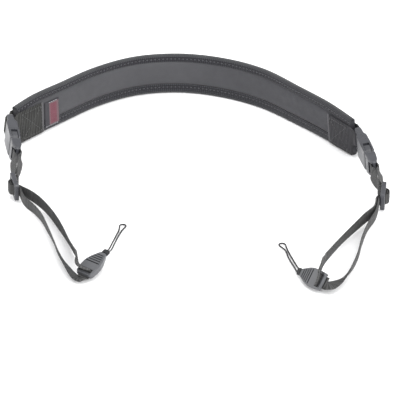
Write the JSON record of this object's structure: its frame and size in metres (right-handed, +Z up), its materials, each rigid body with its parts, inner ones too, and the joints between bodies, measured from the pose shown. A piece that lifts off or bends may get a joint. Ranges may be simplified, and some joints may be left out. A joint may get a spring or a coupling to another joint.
{
  "type": "camera neck strap",
  "caption": "Padded camera neck strap standing on edge in an arch, with a quick-release buckle, slider, narrow webbing and ribbed cord connector at each end",
  "frame": {"origin": "middle of the strap's box without its cords, at floor level", "axes": "+X from the strap's left end to its right end as pictured, +Y towards the back of the neck arch, +Z up"},
  "size_m": [0.3112, 0.3487, 0.037],
  "materials": {
    "neck_pad": "smooth grey fabric over foam",
    "upper_binding": "dark grey woven binding",
    "lower_binding": "dark grey woven binding",
    "end_tab_left": "dark ribbed webbing",
    "end_tab_right": "dark ribbed webbing",
    "side_label": "dull red woven label, bare",
    "buckle_socket_left": "dark grey moulded plastic",
    "buckle_socket_right": "dark grey moulded plastic",
    "buckle_plug_left": "dark grey moulded plastic",
    "buckle_plug_right": "dark grey moulded plastic",
    "adjust_strap_left": "dark ribbed webbing",
    "adjust_strap_right": "dark ribbed webbing",
    "slider_left": "dark grey moulded plastic",
    "slider_right": "dark grey moulded plastic",
    "connector_left": "dark grey moulded plastic",
    "connector_right": "dark grey moulded plastic",
    "cord_sleeve_left": "near-black sleeve",
    "cord_sleeve_right": "near-black sleeve",
    "cord_loop_left": "near-black braided cord",
    "cord_loop_right": "near-black braided cord"
  },
  "bodies": {
    "root": {"neck_pad": "neck_pad", "upper_binding": "upper_binding", "lower_binding": "lower_binding", "end_tab_left": "end_tab_left", "end_tab_right": "end_tab_right", "side_label": "side_label", "buckle_socket_left": "buckle_socket_left", "buckle_socket_right": "buckle_socket_right", "buckle_plug_left": "buckle_plug_left", "buckle_plug_right": "buckle_plug_right", "adjust_strap_left": "adjust_strap_left", "adjust_strap_right": "adjust_strap_right", "slider_left": "slider_left", "slider_right": "slider_right", "connector_left": "connector_left", "connector_right": "connector_right", "cord_sleeve_left": "cord_sleeve_left", "cord_sleeve_right": "cord_sleeve_right", "cord_loop_left": "cord_loop_left", "cord_loop_right": "cord_loop_right"}
  },
  "joints": []
}
